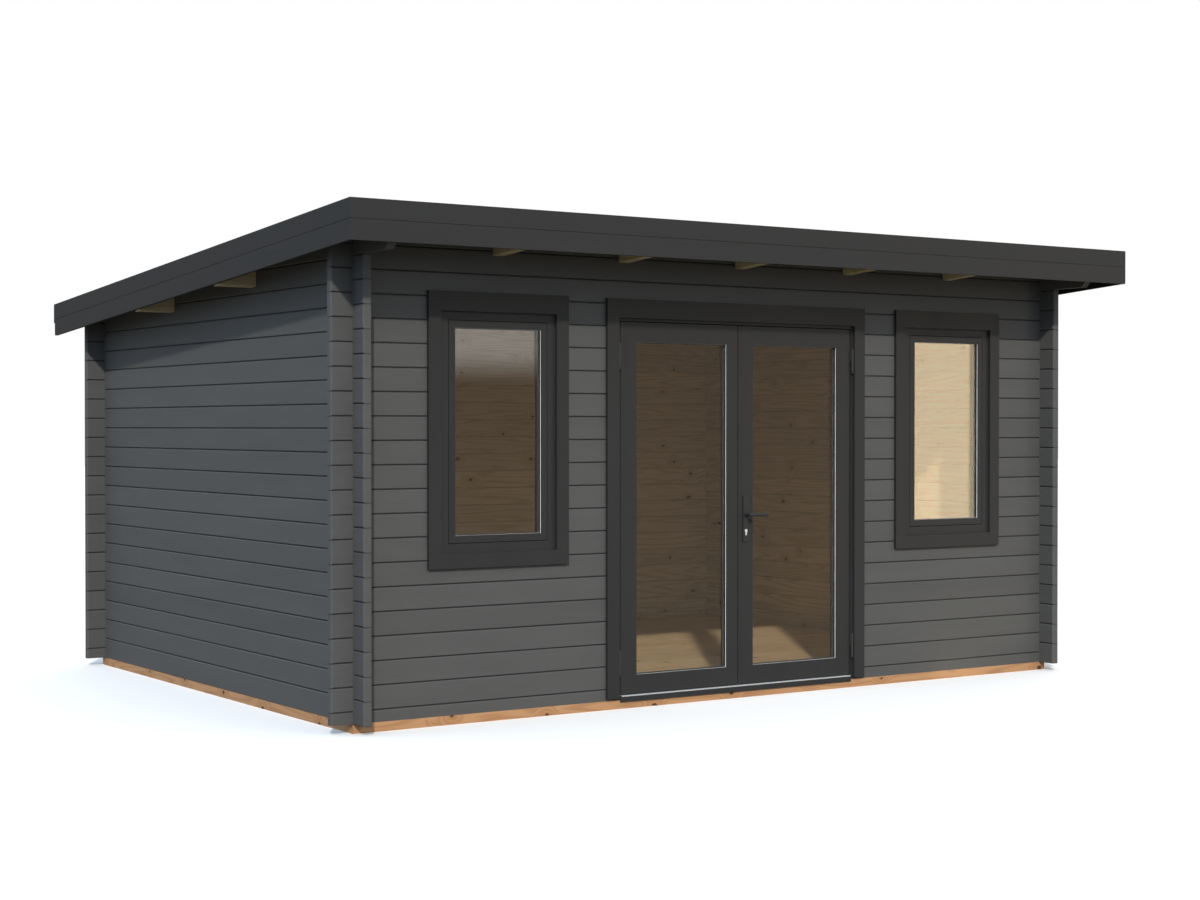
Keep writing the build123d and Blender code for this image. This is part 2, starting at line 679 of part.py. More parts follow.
def hinge_halves(side, on_leaf):
    """The upper or lower halves of a leaf's two hinges: a barrel, its fixing, and the pin or its bore."""
    x_axis = side * (X_LEAF + BARREL_OUT)
    y_axis = Y_FRONT - BARREL_STAND
    x_edge = side * X_LEAF
    x_flap = side * (X_LEAF + FLAP_T)
    y_arm = y_axis + ARM_SET
    with BuildPart() as halves:
        for z_mid in (Z_LEAF + HINGE_UP, Z_LEAF_TOP - HINGE_DOWN):
            z0 = z_mid + BARREL_GAP / 2 if on_leaf else z_mid - BARREL_GAP / 2 - BARREL_HALF
            with BuildSketch(Plane.XY.offset(z0)):
                with Locations((x_axis, y_axis)):
                    Circle(BARREL_D / 2)
                if on_leaf:
                    Polygon(
                        (x_axis, y_arm + ARM_T),
                        (x_flap, y_arm + ARM_T),
                        (x_flap, Y_LEAF + FLAP_DEPTH),
                        (x_edge, Y_LEAF + FLAP_DEPTH),
                        (x_edge, y_arm),
                        (x_axis, y_arm),
                        align=None,
                    )
                else:
                    with Locations((x_axis, (y_axis + Y_FRONT) / 2)):
                        Rectangle(NECK_W, BARREL_STAND)
            extrude(amount=BARREL_HALF)
            bore = PIN_D / 2 + (PIN_FIT if on_leaf else 0)
            top = z_mid + BARREL_GAP / 2 + PIN_UP + (PIN_FIT if on_leaf else 0)
            with BuildSketch(Plane.XY.offset(z_mid - BARREL_GAP / 2)):
                with Locations((x_axis, y_axis)):
                    Circle(bore)
            extrude(amount=top - z_mid + BARREL_GAP / 2, mode=Mode.SUBTRACT if on_leaf else Mode.ADD)
    return halves.part


def handle():
    """The long plates on both faces of the right leaf, the keyed lock, and the lever on its spindle."""
    x = lever_x()
    z = BASE_H + LEVER_Z
    with BuildPart() as plates:
        for y0 in (Y_LEAF - PLATE_T, Y_LEAF_BACK):
            add(board(x - PLATE_W / 2, x + PLATE_W / 2, y0, y0 + PLATE_T, z - PLATE_DOWN, z + PLATE_UP))
        with Locations(across(x, 0, z)):
            Cylinder(SPINDLE_HOLE / 2, FAR, mode=Mode.SUBTRACT)
        extrude(lock_outline(LOCK_FIT), amount=FAR, both=True, mode=Mode.SUBTRACT)
    save(plates.part, "right_leaf_handle_plates")

    y_out = Y_LEAF - PLATE_T - LOCK_PROUD
    y_in = Y_LEAF_BACK + PLATE_T + LOCK_PROUD
    with BuildPart() as lock:
        extrude(lock_outline(0), amount=-y_out)
        extrude(lock_outline(0), amount=-y_in, mode=Mode.SUBTRACT)
    save(lock.part, "right_leaf_lock")

    y_front = Y_LEAF - PLATE_T - NECK_GAP
    y_back = Y_LEAF_BACK + PLATE_T + NECK_GAP
    with BuildPart() as lever:
        for y_neck, y_bar in ((y_front, Y_LEAF - LEVER_STAND), (y_back, Y_LEAF_BACK + LEVER_STAND)):
            with BuildLine() as route:
                Polyline((x, y_neck, z), (x, y_bar, z), (x + LEVER_REACH, y_bar, z))
            with BuildSketch(Plane(route.line @ 0, z_dir=route.line % 0)):
                Circle(LEVER_D / 2)
            sweep(transition=Transition.RIGHT)
        half = SPINDLE_W / 2
        add(board(x - half, x + half, y_front, y_back, z - half, z + half))
    save(lever.part, "door_lever")


door_frame()
door_casings()
leaf(-1, "left")
leaf(1, "right")
for side, word in ((-1, "left"), (1, "right")):
    save(hinge_halves(side, False), f"{word}_hinges_on_jamb")
    save(hinge_halves(side, True), f"{word}_hinges_on_leaf")
handle()
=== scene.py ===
import json
from math import cos, pi, radians, sin, tan

import bmesh
import bpy
from mathutils import Euler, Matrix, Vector


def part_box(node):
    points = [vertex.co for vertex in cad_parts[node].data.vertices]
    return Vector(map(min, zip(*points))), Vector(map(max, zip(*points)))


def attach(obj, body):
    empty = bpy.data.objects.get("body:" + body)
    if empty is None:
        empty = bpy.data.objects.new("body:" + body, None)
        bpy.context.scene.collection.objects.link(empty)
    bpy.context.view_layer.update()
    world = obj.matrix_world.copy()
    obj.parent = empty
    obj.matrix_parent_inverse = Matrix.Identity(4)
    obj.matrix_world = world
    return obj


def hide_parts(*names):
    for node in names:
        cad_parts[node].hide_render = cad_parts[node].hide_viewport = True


# Garden office pod: the finishes, fine pieces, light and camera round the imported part. Metres, +Z up,
# and the door side faces -Y, as in the part's own frame.
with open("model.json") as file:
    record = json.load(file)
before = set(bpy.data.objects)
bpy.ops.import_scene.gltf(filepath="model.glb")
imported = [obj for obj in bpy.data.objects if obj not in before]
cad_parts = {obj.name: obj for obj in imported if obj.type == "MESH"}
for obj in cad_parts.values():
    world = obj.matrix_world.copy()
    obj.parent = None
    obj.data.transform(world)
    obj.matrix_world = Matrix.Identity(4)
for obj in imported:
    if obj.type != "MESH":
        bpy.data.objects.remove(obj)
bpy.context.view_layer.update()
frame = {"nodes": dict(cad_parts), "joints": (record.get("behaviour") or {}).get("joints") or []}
nodes = frame["nodes"]

X, Y, Z = 0, 1, 2

# Sizes of the building, in metres, and the pitch of its roof in degrees
LOG_H = 0.114
LOG_T = 0.044
BASE_H = 0.045
COVER_T = 0.004
TAIL_PITCH = 0.735
ROOF_PITCH = 4.01
SLOPE = tan(radians(ROOF_PITCH))
WALL_X = (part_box("left_wall")[0].x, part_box("right_wall")[1].x)
WALL_Y = (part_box("front_wall_header")[0].y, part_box("rear_wall")[1].y)
FIT = 0.0001

# Camera at the photograph's place, in metres, and angle, in degrees, with its lens and sensor in millimetres
CAMERA_PLACE = (-6.474, -9.918, 1.4218)
CAMERA_YAW = 33.7595
CAMERA_PITCH = 0.6653
CAMERA_LENS = 60.46
CAMERA_REACH = 200
SENSOR = 36.0

# Sun: its direction and the width of its disc are in degrees
SUN_AZIMUTH = 32.5
SUN_HEIGHT = 33.0
SUN_STRENGTH = 2.2
SUN_COLOUR = (1.0, 0.955, 0.88)
SUN_SOFTNESS = 2.2

# Sky and floor. SKY_COOLS is where the sky turns from warm to cool, as the X share of a ray's direction.
WHITE = (1.0, 1.0, 1.0)
SKY_WARM = (0.92, 0.95, 0.99)
SKY_COOL = (0.66, 0.87, 1.13)
SKY_COOLS = (0.3, -0.7)
GROUND = (1.06, 1.05, 1.04)
GROUND_BOUNCE = (0.15, 0.145, 0.125)
GROUND_REACH = 60.0

# What the glass mirrors: dim surroundings, a bright panel and a low glow. Compass directions are in degrees,
# heights are the upward share of a ray's direction.
MIRRORED = (0.24, 0.215, 0.175)
MIRRORED_TOP = (0.05, 0.45)
PANEL = (3.4, 2.75, 1.85)
PANEL_RISE = (41.0, 42.4)
PANEL_FALL = (50.0, 46.0)
GLOW = (1.35, 1.30, 1.20)
GLOW_RISE = (27.0, 29.0)
GLOW_FALL = (33.6, 32.4)
GLOW_HEIGHT = (0.020, 0.040)
GLOW_TOP = (0.14, 0.09)

# Colours, linear
LOG_PAINT = (0.098, 0.0968, 0.0938)
TRIM_PAINT = (0.0305, 0.0305, 0.0312)
PINE_LIGHT = (0.76, 0.575, 0.35)
PINE_DARK = (0.50, 0.32, 0.15)
# The roof boards' two colours are darker than the wood's own tone, as painted shade on the soffit under the
# eaves
ROOF_LIGHT_WITH_SHADE = (0.42, 0.30, 0.16)
ROOF_DARK_WITH_SHADE = (0.27, 0.16, 0.07)
FLOOR_LIGHT = (0.86, 0.64, 0.40)
FLOOR_DARK = (0.62, 0.40, 0.19)
BEAM_LIGHT = (0.64, 0.53, 0.31)
BEAM_DARK = (0.47, 0.35, 0.165)
BASE_LIGHT = (0.535, 0.285, 0.135)
BASE_DARK = (0.37, 0.160, 0.060)
KNOT = (0.075, 0.032, 0.013)
FELT = (0.035, 0.036, 0.039)
GLASS_TINT = (0.992, 0.992, 0.985)

# Plain finishes: colour, roughness and metallic share
PLAIN_LOOKS = {
    "painted_steel": ((0.036, 0.036, 0.036), 0.42, 0.0),
    "black_coat": ((0.024, 0.0245, 0.025), 0.5, 0.0),
    "bright_nickel": ((0.88, 0.88, 0.87), 0.3, 0.3),
    "aluminium": ((0.66, 0.68, 0.70), 0.35, 0.3),
    "spacer_metal": ((0.06, 0.06, 0.057), 0.4, 0.0),
    "glazing_seal": ((0.97, 0.97, 0.96), 0.55, 0.0),
    # The black rubber is also used for the key slots, where it paints the shade inside them
    "black_rubber_and_slot_shade": ((0.012, 0.012, 0.012), 0.7, 0.0),
}

# Noise values run mostly between these two
NOISE_RANGE = (0.2, 0.8)

# Knots: spacing, size and fading in metres. KNOT_PICK is the random value from which a place has a knot,
# and KNOT_LEAST is the smallest knot that is kept, as a share of the largest.
KNOT_SPACING = 0.62
KNOT_SIZE = 0.011
KNOT_SCATTER = 0.8
KNOT_STRETCH = 0.7
KNOT_PICK = 0.35
KNOT_LEAST = 0.12
KNOT_RIM = (0.003, -0.001)
HALO_REACH = 0.055
HALO_BEND = 0.13

# Grain: scales along a board, across it and into it, and settings of the noise
BOARD_SEED = 0.37
BOARD_SHIFT = 41.0
RING_SCALES = (0.55, 7.5, 7.5)
RING_DETAIL = 2.0
RING_ROUGHNESS = 0.4
RINGS = 95.0
STREAK_SCALES = (5.0, 420.0, 420.0)
STREAK_ROUGHNESS = 0.6
CLOUD_SCALES = (1.4, 9.0, 1.0)

# Bare timber: how much each part of the pattern darkens or raises it
BOARD_TONES = (0.9, 1.08)
RING_SHARPNESS = 2.5
RING_SHARE = 0.5
STREAK_RISE = (0.55, 0.85)
STREAK_SHARE = 0.45
HALO_SHARE = 0.35
STREAK_HEIGHT = 0.65
RING_HEIGHT = 0.25
KNOT_HEIGHT = -0.35
BARE_ROUGH = 0.55
GRAIN_DEPTH = 0.0006
BARE_GRAIN = 0.5

# Painted timber: tones from board to board and along the grain
PAINT_STREAK = (0.93, 1.06)
PAINT_CLOUD = (0.95, 1.05)
PAINT_SHINE = {"Specular IOR Level": 0.3}
LOG_SPREAD = 0.10
LOG_ROUGH = (0.52, 0.64)
LOG_GRAIN = 0.55
TRIM_BOARD = 0.35
TRIM_SPREAD = 0.04
TRIM_ROUGH = (0.46, 0.58)
TRIM_DEPTH = 0.0004
TRIM_GRAIN = 0.35

# Painted shade in the narrow real gap where two logs meet: half the gap's width, how far the shade fades
# out, and how dark it is
JOINT_HALF = 0.0016
JOINT_FADE = 1.8
JOINT_SHADE = 0.4
JOINT_SHADE_INSIDE = 0.75

# Widths that the pattern of the heavier timbers is parted into, with the base's start and knot spacing
BASE_BOARD = 0.11
BASE_START = -0.03
BASE_KNOTS = 0.55
BEARER_BOARD = 0.55
PURLIN_BOARD = 0.4

# Plain finishes, glass and felt
PLAIN_GRIT = 900.0
PLAIN_GRIT_DETAIL = 2.0
PLAIN_CLOUD = 60.0
PLAIN_TONES = (0.92, 1.06)
PLAIN_ROUGH = (0.85, 1.2)
PLAIN_DEPTH = 0.00008
PLAIN_STRENGTH = 0.3
GLASS_IOR = 1.5
FELT_GRIT = 700.0
FELT_GRIT_DETAIL = 2.0
FELT_GRIT_ROUGHNESS = 0.7
FELT_GRIT_RANGE = (0.3, 0.7)
FELT_GRIT_TONES = (0.6, 1.5)
FELT_CLOUD = 3.0
FELT_CLOUD_TONES = (0.85, 1.12)
FELT_ROUGH = 0.85
FELT_DEPTH = 0.0008
FELT_STRENGTH = 0.8


# Shader building
class Nodes:
    """A node tree that is filled one call at a time."""

    def __init__(self, tree):
        self.tree = tree
        self.tree.nodes.clear()

    def node(self, kind, inputs=None, **settings):
        """Adds a node. Inputs are given by name or number, as sockets to link or as values."""
        made = self.tree.nodes.new(kind)
        for key, value in settings.items():
            setattr(made, key, value)
        for key, value in (inputs or {}).items():
            self.put(made.inputs[key], value)
        return made

    def put(self, socket, value):
        if isinstance(value, bpy.types.NodeSocket):
            self.tree.links.new(value, socket)
        else:
            socket.default_value = value

    def parts(self, vector):
        split = self.node("ShaderNodeSeparateXYZ", {0: vector})
        return split.outputs[0], split.outputs[1], split.outputs[2]

    def vector(self, x, y, z):
        return self.node("ShaderNodeCombineXYZ", {0: x, 1: y, 2: z}).outputs[0]

    def math(self, operation, *values):
        return self.node("ShaderNodeMath", dict(enumerate(values)), operation=operation).outputs[0]

    def plus(self, a, b):
        return self.math("ADD", a, b)

    def minus(self, a, b):
        return self.math("SUBTRACT", a, b)

    def times(self, a, b):
        return self.math("MULTIPLY", a, b)

    def over(self, a, b):
        return self.math("DIVIDE", a, b)

    def span(self, value, low, high, out_low=0.0, out_high=1.0):
        """Value taken smoothly from low..high to out_low..out_high."""
        made = self.node("ShaderNodeMapRange", {0: value, 1: low, 2: high, 3: out_low, 4: out_high},
                         interpolation_type="SMOOTHSTEP")
        return made.outputs[0]

    def vary(self, noise, low, high):
        """A noise whose usual values are taken to low..high."""
        return self.span(noise, *NOISE_RANGE, low, high)

    def inside(self, value, low, high):
        """1 where value lies between low and high."""
        return self.times(self.math("GREATER_THAN", value, low), self.math("LESS_THAN", value, high))

    def mix(self, factor, a, b):
        """Colour a where factor is 0, colour b where it is 1."""
        made = self.node("ShaderNodeMix", data_type="RGBA")
        for index, value in ((0, factor), (6, a), (7, b)):
            if isinstance(value, tuple):
                value = (*value, 1.0)
            self.put(made.inputs[index], value)
        return made.outputs[2]

    def shade(self, colour, factor):
        """Colour times a number."""
        return self.node("ShaderNodeVectorMath", {0: colour, "Scale": factor}, operation="SCALE").outputs[0]

    def noise(self, vector, scale=1.0, detail=3.0, roughness=0.55):
        made = self.node("ShaderNodeTexNoise", {"Vector": vector, "Scale": scale, "Detail": detail,
                                                "Roughness": roughness})
        return made.outputs[0]

    def random(self, value, seed):
        """A number from 0 to 1 for each whole value."""
        made = self.node("ShaderNodeTexWhiteNoise", {"W": self.plus(value, seed)}, noise_dimensions="1D")
        return made.outputs["Value"]


class Shader(Nodes):
    """The nodes of a new material, with the place on the part as x, y and z."""

    def __init__(self, name):
        self.material = bpy.data.materials.new(name)
        self.material.use_nodes = True
        super().__init__(self.material.node_tree)
        self.place = self.node("ShaderNodeTexCoord").outputs["Object"]
        self.x, self.y, self.z = self.parts(self.place)

    def principled(self, colour, roughness, height, depth, strength, **more):
        """A surface with a bump of the given height pattern, depth in metres and strength."""
        bump = self.node("ShaderNodeBump", {"Height": height, "Distance": depth, "Strength": strength})
        inputs = {"Base Color": colour, "Roughness": roughness, "Normal": bump.outputs[0], **more}
        return self.node("ShaderNodeBsdfPrincipled", inputs).outputs[0]

    def finish(self, surface):
        self.node("ShaderNodeOutputMaterial", {0: surface})
        return self.material


class Wood:
    """The pattern of a timber along one axis, in boards that follow each other along the course axis.

    value is random for each board. knot and halo are 1 in a knot and fade out round it. ring, streak and
    cloud are the year rings, the fine fibres and the broad patches.
    """

    def __init__(self, shader, axis, pitch, start, course_axis, knot_spacing=KNOT_SPACING,
                 knot_size=KNOT_SIZE):
        self.shader = s = shader
        self.pitch = pitch
        places = (s.x, s.y, s.z)
        offset = s.minus(places[course_axis], start)
        self.turns = s.over(offset, pitch)
        self.board = s.math("FLOOR", self.turns)
        self.value = s.random(self.board, BOARD_SEED)
        self.run = s.plus(places[axis], s.times(self.value, BOARD_SHIFT))
        self.across = s.minus(offset, s.times(self.board, pitch))
        self.deep = places[X + Y + Z - axis - course_axis]
        self.knot, self.halo = self.knots(knot_spacing, knot_size)
        self.ring, self.streak, self.cloud = self.grain()

    def knots(self, spacing, size):
        """Knots scattered over the boards, without the smallest ones, and the halos round them."""
        s = self.shader
        cell = s.vector(s.over(self.run, spacing), s.over(self.across, self.pitch), self.board)
        spots = s.node("ShaderNodeTexVoronoi", {"Vector": cell, "Scale": 1.0, "Randomness": KNOT_SCATTER})
        away = s.node("ShaderNodeVectorMath", {0: spots.outputs["Position"], 1: cell}, operation="SUBTRACT")
        along, across, _ = s.parts(away.outputs[0])
        along = s.times(along, spacing * KNOT_STRETCH)
        across = s.times(across, self.pitch)
        reach = s.math("SQRT", s.plus(s.times(along, along), s.times(across, across)))
        pick = s.node("ShaderNodeSeparateColor", {0: spots.outputs["Color"]}).outputs[0]
        radius = s.times(s.span(pick, KNOT_PICK, 1.0), size)
        kept = s.math("GREATER_THAN", radius, size * KNOT_LEAST)
        rim = s.minus(reach, radius)
        return s.times(s.span(rim, *KNOT_RIM), kept), s.times(s.span(rim, HALO_REACH, 0.0), kept)

    def stretched(self, along, across, deep):
        """The place in the timber, with each direction scaled by itself."""
        s = self.shader
        return s.vector(s.times(self.run, along), s.times(self.across, across), s.times(self.deep, deep))

    def grain(self):
        """Rings that bend round the knots, fine streaks, and broad patches."""
        s = self.shader
        field = s.noise(self.stretched(*RING_SCALES), detail=RING_DETAIL, roughness=RING_ROUGHNESS)
        field = s.plus(field, s.times(self.halo, HALO_BEND))
        ring = s.plus(s.times(s.math("SINE", s.times(field, RINGS)), 0.5), 0.5)
        streak = s.noise(self.stretched(*STREAK_SCALES), roughness=STREAK_ROUGHNESS)
        return ring, streak, s.noise(self.stretched(*CLOUD_SCALES))

    def painted(self, colour, spread):
        """Painted timber: the colour varies a little from board to board, and the grain shows through."""
        s = self.shader
        tone = s.plus(1.0 - spread / 2, s.times(self.value, spread))
        tone = s.times(tone, s.vary(self.streak, *PAINT_STREAK))
        tone = s.times(tone, s.vary(self.cloud, *PAINT_CLOUD))
        return s.shade(colour, tone)

    def natural(self, light, dark):
        """Bare timber: rings, streaks and knots in the wood's own colours."""
        s = self.shader
        pale, rich = BOARD_TONES
        board = s.mix(self.value, tuple(c * pale for c in light), tuple(min(1.0, c * rich) for c in light))
        ringed = s.mix(s.times(s.math("POWER", self.ring, RING_SHARPNESS), RING_SHARE), board, dark)
        streaked = s.mix(s.span(self.streak, *STREAK_RISE, 0.0, STREAK_SHARE), ringed, dark)
        haloed = s.mix(s.times(self.halo, HALO_SHARE), streaked, dark)
        return s.mix(self.knot, haloed, KNOT)

    def height(self):
        """The pattern's height for the bump: streaks and rings stand up, knots are sunk."""
        s = self.shader
        grain = s.plus(s.times(self.streak, STREAK_HEIGHT), s.times(self.ring, RING_HEIGHT))
        return s.plus(grain, s.times(self.knot, KNOT_HEIGHT))

    def joints(self, dark):
        """Painted shade in the real gap where two boards meet: down to a dark value there, 1 elsewhere."""
        s = self.shader
        away = s.math("ABSOLUTE", s.minus(self.turns, s.math("ROUND", self.turns)))
        return s.span(s.times(away, self.pitch), JOINT_HALF, JOINT_HALF * JOINT_FADE, dark, 1.0)


# Materials
def log_material(name, axis, start):
    """Logs that are painted outside and bare inside the room."""
    s = Shader(name)
    wood = Wood(s, axis, LOG_H, start, Z)
    half = LOG_T / 2
    in_x = s.inside(s.x, WALL_X[0] + half, WALL_X[1] - half)
    in_y = s.inside(s.y, WALL_Y[0] + half, WALL_Y[1] - half)
    # Both colours are darkened at each joint as painted shade in the gap between logs, more faintly inside
    # the room
    outside = s.shade(wood.painted(LOG_PAINT, LOG_SPREAD), wood.joints(JOINT_SHADE))
    inside = s.shade(wood.natural(PINE_LIGHT, PINE_DARK), wood.joints(JOINT_SHADE_INSIDE))
    colour = s.mix(s.times(in_x, in_y), outside, inside)
    rough = s.vary(wood.streak, *LOG_ROUGH)
    return s.finish(s.principled(colour, rough, wood.height(), GRAIN_DEPTH, LOG_GRAIN, **PAINT_SHINE))


def bare_material(name, axis, pitch, start, course_axis, light, dark, rough=BARE_ROUGH, **knots):
    """Bare timber in boards, where knots may set knot_spacing and knot_size."""
    s = Shader(name)
    wood = Wood(s, axis, pitch, start, course_axis, **knots)
    return s.finish(s.principled(wood.natural(light, dark), rough, wood.height(), GRAIN_DEPTH, BARE_GRAIN))


def base_material(name, axis):
    return bare_material(name, axis, BASE_BOARD, BASE_START, Z, BASE_LIGHT, BASE_DARK,
                         knot_spacing=BASE_KNOTS)


def trim_material(name, axis, course_axis):
    """Painted boards of the fascia, casings, frames and leaves."""
    s = Shader(name)
    wood = Wood(s, axis, TRIM_BOARD, 0.0, course_axis)
    colour = wood.painted(TRIM_PAINT, TRIM_SPREAD)
    rough = s.vary(wood.cloud, *TRIM_ROUGH)
    return s.finish(s.principled(colour, rough, wood.height(), TRIM_DEPTH, TRIM_GRAIN, **PAINT_SHINE))


def plain_material(name, colour, rough, metallic):
    """Metal, seal or rubber: one colour with a faint grit and faint patches."""
    s = Shader(name)
    grit = s.noise(s.place, PLAIN_GRIT, PLAIN_GRIT_DETAIL)
    tone = s.shade(colour, s.vary(s.noise(s.place, PLAIN_CLOUD), *PLAIN_TONES))
    gloss = s.vary(grit, rough * PLAIN_ROUGH[0], rough * PLAIN_ROUGH[1])
    return s.finish(s.principled(tone, gloss, grit, PLAIN_DEPTH, PLAIN_STRENGTH, Metallic=metallic))


def glass_material():
    """Clear glass: each face mirrors what Fresnel says and lets the rest straight through."""
    s = Shader("glass")
    mirror = s.node("ShaderNodeBsdfGlossy", {"Color": (*WHITE, 1.0), "Roughness": 0.0})
    through = s.node("ShaderNodeBsdfTransparent", {"Color": (*GLASS_TINT, 1.0)})
    back = s.node("ShaderNodeNewGeometry").outputs["Backfacing"]
    bend = s.plus(GLASS_IOR, s.times(back, 1 / GLASS_IOR - GLASS_IOR))
    share = s.node("ShaderNodeFresnel", {"IOR": bend}).outputs[0]
    both = s.node("ShaderNodeMixShader", {0: share, 1: through.outputs[0], 2: mirror.outputs[0]})
    return s.finish(both.outputs[0])


def felt_material():
    """Gritted roofing felt with faint broad patches."""
    s = Shader("roofing_felt")
    grit = s.noise(s.place, FELT_GRIT, FELT_GRIT_DETAIL, FELT_GRIT_ROUGHNESS)
    tone = s.span(grit, *FELT_GRIT_RANGE, *FELT_GRIT_TONES)
    tone = s.times(tone, s.vary(s.noise(s.place, FELT_CLOUD), *FELT_CLOUD_TONES))
    return s.finish(s.principled(s.shade(FELT, tone), FELT_ROUGH, grit, FELT_DEPTH, FELT_STRENGTH))


# The front and rear walls start with half a log, the side walls with a whole one
paint_x = log_material("log_paint_along_x", X, BASE_H + LOG_H / 2)
paint_y = log_material("log_paint_along_y", Y, BASE_H)
trim_x = trim_material("trim_paint_along_x", X, Z)
trim_y = trim_material("trim_paint_along_y", Y, Z)
trim_z = trim_material("trim_paint_upright", Z, X)
base_x = base_material("base_timber_along_x", X)
base_y = base_material("base_timber_along_y", Y)
bearer = bare_material("bearer_timber", Y, BEARER_BOARD, -BEARER_BOARD / 2, X, PINE_LIGHT, PINE_DARK)
beam_x = bare_material("beam_timber_along_x", X, PURLIN_BOARD, 0.0, Z, BEAM_LIGHT, BEAM_DARK)
beam_y = bare_material("beam_timber_along_y", Y, TAIL_PITCH, -TAIL_PITCH / 2, X, BEAM_LIGHT, BEAM_DARK)
plain = {name: plain_material(name, *look) for name, look in PLAIN_LOOKS.items()}
glass = glass_material()
felt = felt_material()

FINISHES = {
    paint_x: ["front_wall_header", "front_wall_left_corner", "front_wall_right_corner",
              "front_wall_left_of_door", "front_wall_right_of_door", "front_wall_under_left_window",
              "front_wall_under_right_window", "rear_wall"],
    paint_y: ["left_wall", "right_wall"],
    trim_x: ["fascia_front_upper", "fascia_front_lower", "rear_trim", "door_casing_head", "door_head",
             "door_threshold"],
    trim_y: ["fascia_left_upper", "fascia_left_lower", "fascia_right_upper", "fascia_right_lower"],
    trim_z: ["door_casing_left", "door_casing_right", "door_jamb_left", "door_jamb_right", "left_leaf_frame",
             "right_leaf_frame", "left_window_frame", "right_window_frame", "left_window_sash",
             "right_window_sash", "left_window_casing", "right_window_casing"],
    base_x: ["base_beam_front", "base_beam_rear"],
    base_y: ["base_beam_left", "base_beam_right"],
    bearer: ["floor_bearers"],
    beam_x: ["purlin_front", "purlin_rear"],
    beam_y: ["rafter_tails"],
    plain["painted_steel"]: ["left_hinges_on_jamb", "right_hinges_on_jamb", "left_hinges_on_leaf",
                             "right_hinges_on_leaf"],
    plain["black_coat"]: ["right_leaf_handle_plates", "door_lever"],
    plain["bright_nickel"]: ["right_leaf_lock"],
    plain["aluminium"]: ["door_threshold_strip"],
}
for material, names in FINISHES.items():
    for name in names:
        nodes[name].data.materials.clear()
        nodes[name].data.materials.append(material)


# Mesh building
def linked(name, data):
    """Makes an object of a mesh, lamp or camera and puts it in the scene."""
    made = bpy.data.objects.new(name, data)
    bpy.context.scene.collection.objects.link(made)
    return made


def mesh_object(name, bm, material):
    """Makes one object of a bmesh and gives it its finish."""
    mesh = bpy.data.meshes.new(name)
    bm.to_mesh(mesh)
    bm.free()
    mesh.materials.append(material)
    return linked(name, mesh)


def piece(name, bm, material, body="pod", replaced=()):
    """Makes one piece of the part and lets it ride on a body, in place of the CAD nodes that it replaces."""
    bmesh.ops.recalc_face_normals(bm, faces=bm.faces)
    made = mesh_object(name, bm, material)
    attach(made, body)
    if replaced:
        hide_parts(*replaced)
    return made


def extruded(bm, first, last):
    """A closed bar between two outlines of as many points."""
    near = [bm.verts.new(p) for p in first]
    far = [bm.verts.new(p) for p in last]
    count = len(first)
    for k in range(count):
        bm.faces.new((near[k], near[(k + 1) % count], far[(k + 1) % count], far[k]))
    bm.faces.new(near[::-1])
    bm.faces.new(far)


def block(bm, low, high, ease=0.0):
    """A squared bar with the edges along its longest side eased."""
    sides = [high[k] - low[k] for k in (X, Y, Z)]
    axis = sides.index(max(sides))
    a, b = [k for k in (X, Y, Z) if k != axis]
    if ease:
        outline = [(low[a] + ease, low[b]), (high[a] - ease, low[b]),
                   (high[a], low[b] + ease), (high[a], high[b] - ease),
                   (high[a] - ease, high[b]), (low[a] + ease, high[b]),
                   (low[a], high[b] - ease), (low[a], low[b] + ease)]
    else:
        outline = [(low[a], low[b]), (high[a], low[b]), (high[a], high[b]), (low[a], high[b])]

    def point(pair, at):
        p = [0.0, 0.0, 0.0]
        p[a], p[b], p[axis] = pair[0], pair[1], at
        return p

    extruded(bm, [point(q, low[axis]) for q in outline], [point(q, high[axis]) for q in outline])


def frame_of_bars(bm, low, high, width):
    """Four bars round an upright opening, the side ones from end to end."""
    block(bm, (low.x, low.y, low.z), (low.x + width, high.y, high.z))
    block(bm, (high.x - width, low.y, low.z), (high.x, high.y, high.z))
    block(bm, (low.x + width, low.y, low.z), (high.x - width, high.y, low.z + width))
    block(bm, (low.x + width, low.y, high.z - width), (high.x - width, high.y, high.z))


# Sealed glass units, in metres
PANE = 0.004
SPACER_EDGE = 0.002
SPACER_W = 0.0118
GASKET = 0.003
SEAL_W = 0.0003
SEAL_SET = 0.001
SEAL_DEPTH = 0.0045
GLASS_BITE = 0.012
GLASS_SET = 0.012


def glass_unit(node, body):
    """Two panes with a spacer between them, and the seal and gaskets that bed them in their frame."""
    low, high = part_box(node)
    bm = bmesh.new()
    for y0 in (low.y, high.y - PANE):
        block(bm, (low.x, y0, low.z), (high.x, y0 + PANE, high.z))
    piece(f"{node}_panes", bm, glass, body, [node])
    bm = bmesh.new()
    inset = Vector((SPACER_EDGE, PANE + 2 * FIT, SPACER_EDGE))
    frame_of_bars(bm, low + inset, high - inset, SPACER_W)
    piece(f"{node}_spacer", bm, plain["spacer_metal"], body)
    sight = Vector((GLASS_BITE, 0, GLASS_BITE))
    y_seal = low.y - GLASS_SET + SEAL_SET
    beads = (("outer_seal", "glazing_seal", SEAL_W, y_seal, y_seal + SEAL_DEPTH),
             ("outer_gasket", "black_rubber_and_slot_shade", SEAL_W, y_seal + SEAL_DEPTH + FIT, low.y - FIT),
             ("inner_gasket", "black_rubber_and_slot_shade", GASKET, high.y + FIT, high.y + GASKET))
    for name, look, width, y0, y1 in beads:
        bm = bmesh.new()
        frame_of_bars(bm, Vector((low.x, y0, low.z)) + sight, Vector((high.x, y1, high.z)) - sight, width)
        piece(f"{node}_{name}", bm, plain[look], body)


for side in ("left", "right"):
    glass_unit(f"{side}_window_glass", "pod")
    glass_unit(f"{side}_leaf_glass", f"{side}_leaf")


